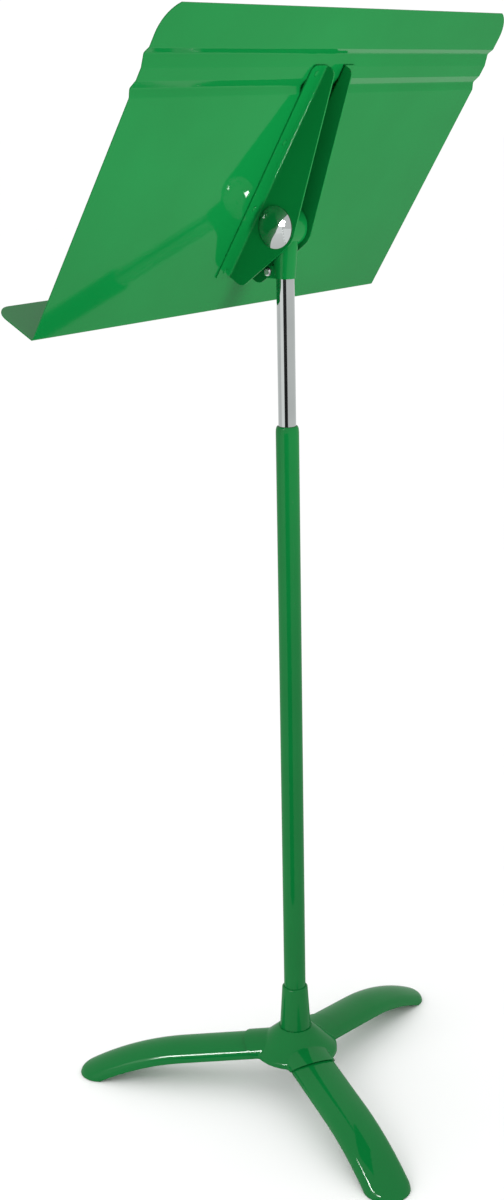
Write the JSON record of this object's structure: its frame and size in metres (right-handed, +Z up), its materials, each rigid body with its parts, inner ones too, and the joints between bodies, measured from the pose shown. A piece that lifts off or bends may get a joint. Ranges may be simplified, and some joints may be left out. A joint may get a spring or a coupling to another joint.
{
  "type": "music stand",
  "caption": "Music stand with a folded sheet desk that tilts on a riveted bracket, a telescopic mast held by an inner friction clutch, and a low base of pressed legs.",
  "frame": {"origin": "on the mast's axis at the floor", "axes": "+Z up along the mast, the player stands on the -Y side of the desk, +X across the desk"},
  "size_m": [0.508, 0.4129, 1.0877],
  "materials": {
    "green_paint": "smooth glossy green enamel",
    "chrome": "bright chrome plate",
    "zinc_steel": "zinc-plated steel",
    "nylon": "natural nylon",
    "rubber": "black moulded rubber",
    "fibre": "dense brown fibre"
  },
  "bodies": {
    "base": {"outer_tube": "green_paint", "guide_bush": "nylon", "tube_plug": "zinc_steel", "collar": "green_paint", "hub_shell": "green_paint", "leg_front": "green_paint", "leg_back": "green_paint", "leg_side": "green_paint", "clamp_plate": "zinc_steel", "base_washer": "zinc_steel", "base_bolt": "zinc_steel", "foot_pads": "rubber"},
    "carriage": {"clutch_sleeve": "nylon", "clutch_spring": "zinc_steel"},
    "mast": {"inner_tube": "chrome", "clutch_spool": "zinc_steel", "clutch_washer": "zinc_steel", "clutch_screw": "zinc_steel", "neck": "green_paint", "pinch_screw": "zinc_steel", "pinch_nut": "zinc_steel"},
    "desk_unit": {"desk": "green_paint", "bracket_left": "green_paint", "bracket_right": "green_paint", "desk_rivets": "green_paint", "pivot_bolt": "zinc_steel", "pivot_nut": "zinc_steel", "pivot_spring": "zinc_steel", "friction_discs": "fibre", "cap_left": "chrome", "cap_right": "chrome"}
  },
  "joints": [
    {"name": "height_slide", "type": "slide", "parent": "base", "child": "carriage", "axis": [0, 0, 1], "range_m": [-0.138, 0.4]},
    {"name": "mast_swivel", "type": "hinge", "parent": "carriage", "child": "mast", "pos_m": [0, 0, 0.27603], "axis": [0, 0, 1], "continuous": true},
    {"name": "desk_tilt", "type": "hinge", "parent": "mast", "child": "desk_unit", "pos_m": [0, 0, 0.89923], "axis": [-1, 0, 0], "range_deg": [-31.7, 58.3]}
  ]
}
